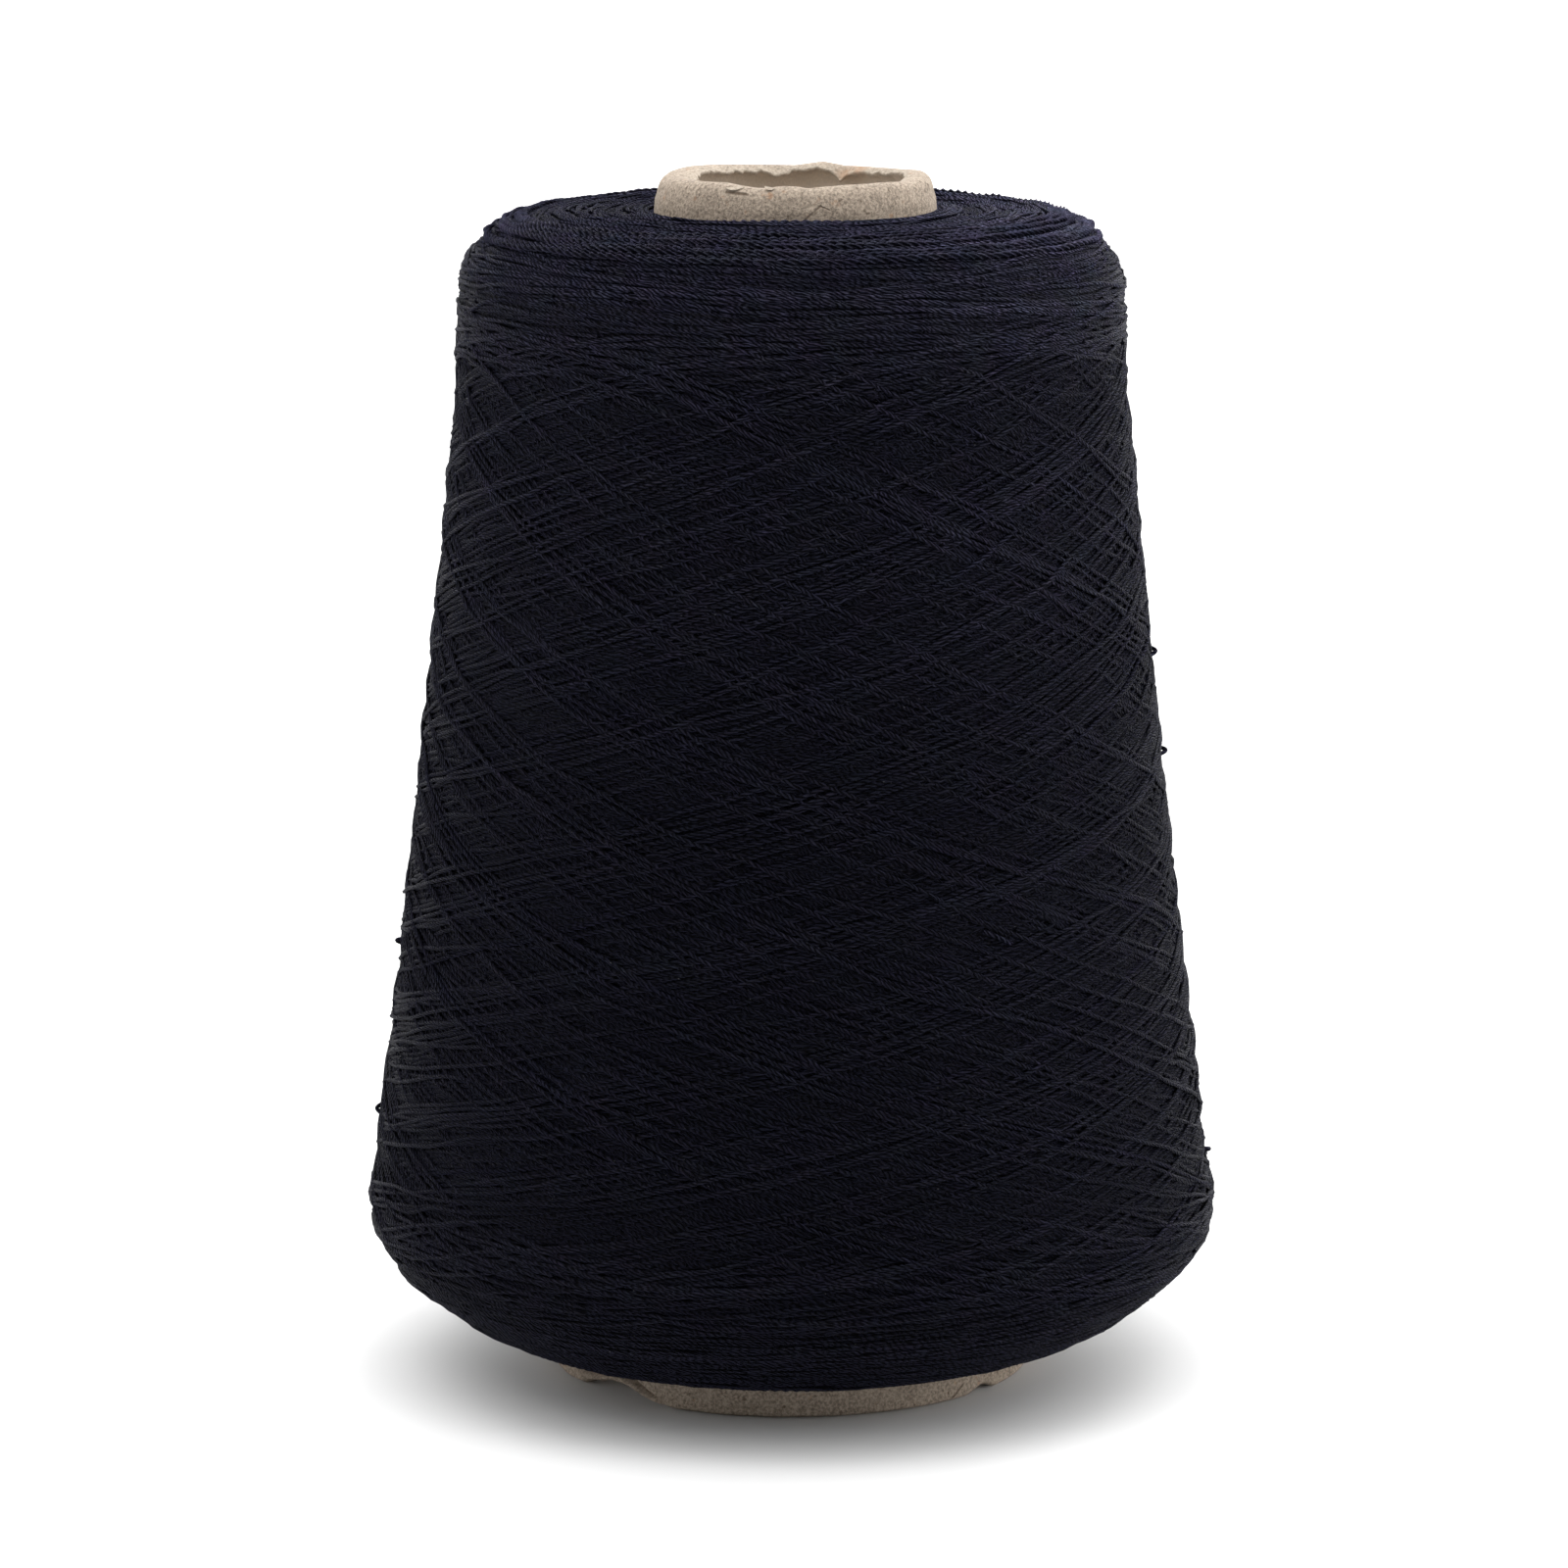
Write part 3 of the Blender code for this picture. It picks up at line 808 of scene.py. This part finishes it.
core = {
    "length": 170.0,  # mm, board to board
    "baseRadius": 34.4,
    "noseRadius": 19.6,
    "wall": 2.6,
    "columns": 480,
    "noseShift": 0.55,  # mm by which the nose sits to the right
    "lipMiddle": 0.7,  # and the opening in it
    "lipRadius": 14.5,
    "lipThickness": 0.45,
    # direction in degrees (front is 270) and height in mm of the rim above its plane
    "rim": ((0, 0.45), (11, 0.5), (28, 0.15), (45, 0.0), (66, 0.0), (77, 0.5), (90, -0.08), (105, 0.05),
            (133, 0.42), (148, 0.5), (165, 0.3), (190, 0.05), (220, 0.27), (235, 0.35), (243, 0.08),
            (251, -0.25), (257, -0.27), (261, 0.0), (266, 0.12), (271, 0.04), (276, -0.24), (282, -0.04),
            (292, 0.14), (302, 0.15), (314, 0.2), (333, -0.1), (350, 0.2)),
    # the same for the torn inner edge of the lip
    "tear": ((0, 0.3), (10, 0.2), (22, 0.12), (33, -0.34), (40, -0.25), (44, -0.53), (51, -0.3), (55, -0.42),
             (61, -0.92), (64, -1.65), (66, -1.2), (68, -0.7), (73, -0.18), (78, 0.07), (84, -0.23), (92, -0.38),
             (97, -0.93), (102, -1.0), (107, -0.5), (110, -0.15), (113, -0.55), (116, -0.3), (119, -0.35),
             (125, -0.2), (130, -0.15), (133, -0.44), (140, -0.05), (151, 0.2), (162, 0.1), (175, -0.3),
             (188, -0.8), (197, -0.4), (210, -0.7), (222, -1.1), (230, -0.6), (244, -1.3), (255, -0.8),
             (262, -1.5), (275, -0.9), (284, -1.2), (296, -0.7), (305, -1.3), (318, -0.5), (330, -0.9),
             (345, -0.2)),
    # where the lip of the base is knocked: direction, lift and inward push in mm
    "knocks": ((204, 0.0, 0.0), (210, 0.12, 0.3), (211.5, 0.7, 0.7), (219.6, 1.7, 1.3), (225.3, 1.6, 1.4),
               (229.8, 1.0, 1.1), (235.2, 0.3, 0.6), (241, 0.0, 0.0), (316, 0.0, 0.0), (319.4, 0.4, 0.3),
               (323.3, 0.85, 0.45), (325.6, 0.45, 0.3), (327.4, 0.0, 0.0)),
    "knockReach": 7.0,
    # the crease where its outer layer is folded: direction and height, and its depth
    "fold": ((210.3, 1.9), (215.2, 2.2), (223.8, 3.0), (228.1, 2.6), (230.7, 1.9), (233.7, 1.3), (238.3, 0.6)),
    "foldDepth": 1.3,
    "uneven": 0.10,  # mm
    # scraps lifted from the nose: direction, half width in degrees, height, how tall and how far off in mm
    "scraps": ((242.0, 5.0, 170.10, 0.55, 0.62), (258.5, 2.6, 170.0, 0.30, 0.30)),
    "seed": 5,
}


def roundTable(table, degrees, column=1):
    t = np.array(table, float)
    return np.interp(degrees, np.concatenate([t[:, 0] - 360, t[:, 0], t[:, 0] + 360]), np.tile(t[:, column], 3))


def hump(distance, halfWidth):
    x = np.clip(np.abs(distance) / halfWidth, 0, 1)
    return 0.5 + 0.5 * np.cos(np.pi * x)


def roundNoise(rng, degrees, waves, power=0.5):
    # smooth noise that closes on itself
    out = np.zeros_like(degrees, float)
    for n in waves:
        out += rng.normal() * np.cos(np.radians(degrees * n + rng.uniform(0, 360))) / n ** power
    return out


def coreSurface(c):
    # rings of points up the inside, round the lip and down the outside
    rng = np.random.default_rng(c["seed"])
    deg = np.arange(c["columns"]) * 360 / c["columns"]
    one = np.ones_like(deg)
    turn = np.radians(deg)
    slope = (c["noseRadius"] - c["baseRadius"]) / c["length"]
    rim = roundTable(c["rim"], deg)
    fray = roundNoise(rng, deg, range(20, 90), 0.3)
    fray *= 0.06 / fray.std()
    tear = roundTable(c["tear"], deg) + fray
    edge = c["lipRadius"] + c["lipMiddle"] * np.cos(turn) + 1.6 * fray + 0.12 * (tear - tear.mean())
    top = c["length"]

    def outside(z):
        radius = c["baseRadius"] + slope * z
        return (min(radius, 19.62 + 0.02 * (168 - z)) if z > 158 else radius) * one

    rows, tags = [], []  # radius, height; how torn and how far inside

    def ring(radius, height, torn=0.0, inside=0.0):
        rows.append((radius * one, height * one))
        tags.append((torn, inside))

    inner = np.concatenate([np.linspace(0.5, 9, 16), np.linspace(14, 150, 18), np.linspace(154, 164, 9)])
    for z in inner:
        ring(outside(z) - c["wall"], z, 0, 1)
    throat = 17.0
    ring(throat, 165.6, 0, 1)
    ring(16.9, 167.2 + 0.3 * rim, 0, 1)
    under = tear - c["lipThickness"]
    ring(16.35, top - 1.5 + 0.6 * rim + 0.2 * under, 0.1, 0.8)
    ring(np.maximum(15.6, edge + 0.5), top - 0.75 + 0.45 * rim + 0.55 * under, 0.4, 0.6)
    ring(edge + 0.12, top - 0.1 + under, 0.8, 0.3)
    ring(edge - 0.04, top + tear - 0.55 * c["lipThickness"], 1.0)
    ring(edge + 0.06, top + tear - 0.12, 1.0)
    ring(edge + 0.32, top + tear * 0.93, 0.9)
    ring(edge * 0.6 + 0.4 * throat, top - 0.02 + 0.45 * tear + 0.5 * rim, 0.45)
    ring(edge * 0.3 + 0.7 * throat, top + 0.10 * tear + 0.85 * rim, 0.2)
    for radius, drop in ((17.1, 0.0), (17.7, 0.04), (18.25, 0.22), (18.72, 0.55), (19.05, 1.0), (19.26, 1.6),
                         (19.42, 2.4)):
        ring(radius, top - drop + rim * max(0.0, 1 - drop / 4), 0.12 * max(0.0, 1 - drop))
    for z in np.concatenate([np.linspace(166.9, 158, 20), np.linspace(154, 12, 15), np.linspace(9, 0.9, 19)]):
        ring(outside(z), z)
    for inset, z in ((0.05, 0.5), (0.28, 0.14), (0.6, 0.0), (1.3, 0.0), (2.0, 0.0), (2.35, 0.14)):
        ring(c["baseRadius"] - inset, z)
    radius, height = (np.array(column) for column in zip(*rows))
    sides = [np.array(column)[:, None] * one for column in zip(*tags)]
    # knocks and a folded layer at the base
    lift, push = roundTable(c["knocks"], deg), roundTable(c["knocks"], deg, 2)
    reach = hump(height, c["knockReach"])
    radius, height = radius - push * reach, height + lift * reach
    outer = np.arange(len(rows))[:, None] >= len(inner) + 20
    fold = np.array(c["fold"])
    inFold = hump((deg - fold[0, 0]) / np.ptp(fold[:, 0]) - 0.45, 0.58) ** 0.4
    crease = np.interp(deg, fold[:, 0], fold[:, 1])
    radius = radius - outer * inFold * c["foldDepth"] * np.exp(-((height - crease) / 0.34) ** 2)
    radius = radius + outer * inFold * 0.5 * np.exp(-((height - crease + 0.9) / 0.55) ** 2)
    # this marks the crease of the fold, which the board material darkens with painted shade
    folded = np.clip(outer * inFold * np.exp(-((height - crease - 0.05) / 0.26) ** 2) * 1.5, 0, 1)
    # soft unevenness of pressed board
    for n in range(3, 40):
        wave = rng.normal() * np.cos(np.radians(deg * n + rng.uniform(0, 360)) + height * rng.normal() * 0.35)
        radius = radius + c["uneven"] * wave / n ** 0.8 * np.where(height < 0.2, 0, 1)
    # the nose stands a little off the middle
    aside = c["noseShift"] * ease((height - 140) / 24)
    points = np.stack([radius * np.cos(turn) + aside, radius * np.sin(turn), np.maximum(height, 0.0)], -1)
    return points, sides + [folded]


def tornLeaf(points, faces, tags, middle, half, z, tall, lift, c):
    # a lifted scrap of board on the outside of the nose
    across, along = 7, 15
    first = len(points)
    for side in (1, 0):
        for j in range(along):
            u = 2 * j / (along - 1) - 1
            for i in range(across):
                v = i / (across - 1)
                height = z - 0.12 * u - tall * v * (1 - u * u) ** 0.7
                near = c["length"] - height
                off = 0.02 + lift * v ** 1.5 * (1 - u * u)
                radius = 19.55 - 1.9 * math.exp(-near / 0.75) + off + 0.09 * side
                turn = math.radians(middle + half * u)
                points.append((radius * math.cos(turn) + c["noseShift"], radius * math.sin(turn), height))
                tags.append((0.9 if side else 0.2, 0, 0))
    size = across * along
    for j in range(along - 1):
        for i in range(across - 1):
            a = first + j * across + i
            faces.append((a, a + 1, a + across + 1, a + across))
            faces.append((a + size, a + size + across, a + size + across + 1, a + size + 1))
    loop = ([j * across for j in range(along)] + [(along - 1) * across + i for i in range(1, across)]
            + [j * across + across - 1 for j in range(along - 2, -1, -1)] + list(range(across - 2, 0, -1)))
    for a, b in zip(loop, loop[1:] + loop[:1]):
        faces.append((first + a, first + b, first + size + b, first + size + a))


def paperCore(c, material):
    rings, sides = coreSurface(c)
    count, around = rings.shape[:2]
    points = rings.reshape(-1, 3).tolist()
    tags = list(zip(*(side.ravel() for side in sides)))
    faces = ringFaces(count, around)
    for scrap in c["scraps"]:
        tornLeaf(points, faces, tags, *scrap, c)
    made = meshObject("paper_core", np.array(points) * mm, faces, material)
    shape = bmesh.new()
    shape.from_mesh(made.data)
    bmesh.ops.recalc_face_normals(shape, faces=shape.faces)
    shape.to_mesh(made.data)
    shape.free()
    for name, values in zip(("torn", "inside", "folded"), zip(*tags)):
        storeOn(made.data, name, values)
    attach(made, "root")
    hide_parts("paper_cone")
    return made


def onCore(c, direction, height):
    # the point of the outside in this direction at this height, in mm
    turn = math.radians(direction)
    if height > 150:
        radius = np.interp(height, (158, 166.9, 167.6, 168.4, 169.0, 169.45, 169.78),
                           (19.82, 19.64, 19.42, 19.26, 19.05, 18.72, 18.2))
        return radius * math.cos(turn) + c["noseShift"], radius * math.sin(turn), height
    radius = c["baseRadius"] + (c["noseRadius"] - c["baseRadius"]) / c["length"] * height
    radius -= float(roundTable(c["knocks"], direction, 2)) * float(hump(height, c["knockReach"]))
    return radius * math.cos(turn), radius * math.sin(turn), height


def nearLine(tree, vector, a, b, width):
    # 1 on the line from a to b (mm), falling to 0 at its width
    a, b = (np.array(p) * mm for p in (a, b))
    way = b - a
    away = vectors(tree, "SUBTRACT", vector, a)
    along = vectors(tree, "DOT_PRODUCT", away, way / (way @ way), output="Value")
    foot = scaled(tree, way, wired(tree, "ShaderNodeClamp", {"Value": along}))
    gap = vectors(tree, "DISTANCE", away, foot, output="Value")
    return spread(tree, gap, 0.25 * width * mm, width * mm, 1, 0)


boardLook = {
    "tone": (0.385, 0.316, 0.250),
    "inner": (0.88, 0.79, 0.69),  # painted light on the inside of the mouth
    "fleckAndShade": (0.115, 0.080, 0.055),  # flecks, and painted shade in the creases and the fold
    "pale": (0.47, 0.41, 0.335),  # torn fibres
    "rust": (0.42, 0.235, 0.13),
    # lines pressed into the board, darkened with painted shade, one of them the shadow under the lifted scrap:
    # direction and height from, to, and width in mm
    "shadedCreases": (((272.4, 165.2), (280.0, 167.5), 0.26), ((280.0, 167.5), (283.5, 167.0), 0.18),
                ((240.2, 169.15), (249.5, 169.05), 0.34), ((311.0, 0.4), (314.6, 1.9), 0.24)),
    "spot": ((8.2, 13.3, 169.6), 1.2, 2.4),  # rusty stain: place, length and reach in mm
    "bump": 0.26,  # mm
}


def boardMaterial(w):
    material, tree, shader = newMaterial("recycled_board")
    place = wired(tree, "ShaderNodeTexCoord", {}, "Object")
    cloud, grain = noiseOf(tree, place, 190, 3, 0.6), noiseOf(tree, place, 2500, 3, 0.7)
    fleck, rare = noiseOf(tree, place, 1150, 1, 0.5), noiseOf(tree, place, 520, 2, 0.6)

    def toned(share):
        return tuple(share * x for x in w["tone"])

    colour = mixOf(tree, spread(tree, cloud, 0.3, 0.7), toned(0.84), toned(1.12))
    for noise, low, high, most, tone in (
            (grain, 0.48, 0.68, 0.78, toned(0.42)), (grain, 0.52, 0.36, 0.75, toned(1.45)),
            (fleck, 0.66, 0.74, 0.7, w["fleckAndShade"]), (rare, 0.64, 0.74, 0.55, w["rust"])):
        colour = mixOf(tree, spread(tree, noise, low, high, 0.0, most), colour, tone)
    edge = times(tree, attributeOf(tree, "torn"), spread(tree, grain, 0.3, 0.6, 0.9, 0.3))
    colour = mixOf(tree, edge, colour, w["pale"])
    (x, y, z), length, reach = w["spot"]
    stain = times(tree, nearLine(tree, place, (x, y, z), (x + length, y, z), reach),
                  spread(tree, rare, 0.35, 0.6, 0.1, 0.8))
    colour = mixOf(tree, stain, colour, w["rust"])
    creaseShade = attributeOf(tree, "folded")
    for a, b, width in w["shadedCreases"]:
        line = nearLine(tree, place, onCore(core, *a), onCore(core, *b), width)
        creaseShade = maths(tree, "MAXIMUM", creaseShade, line)
    # painted shade: dark in the creases, the fold and under the lifted scrap
    colour = mixOf(tree, times(tree, creaseShade, 0.85), colour, w["fleckAndShade"])
    # painted light: the inside of the mouth is made lighter
    inside = times(tree, attributeOf(tree, "inside"), 0.8)
    colour = mixOf(tree, inside, colour, w["inner"])
    height = maths(tree, "ADD", times(tree, grain, 0.9), times(tree, cloud, 1.4))
    height = maths(tree, "SUBTRACT", height, creaseShade)
    fill(shader, {"Base Color": colour, "Normal": bumpOf(tree, w["bump"] * mm, height, 0.8),
                  "Specular IOR Level": 0.2,
                  "Roughness": spread(tree, grain, 0.3, 0.7, 0.82, 0.97)})
    return material


paperCore(core, boardMaterial(boardLook))
print("the paper core is made")
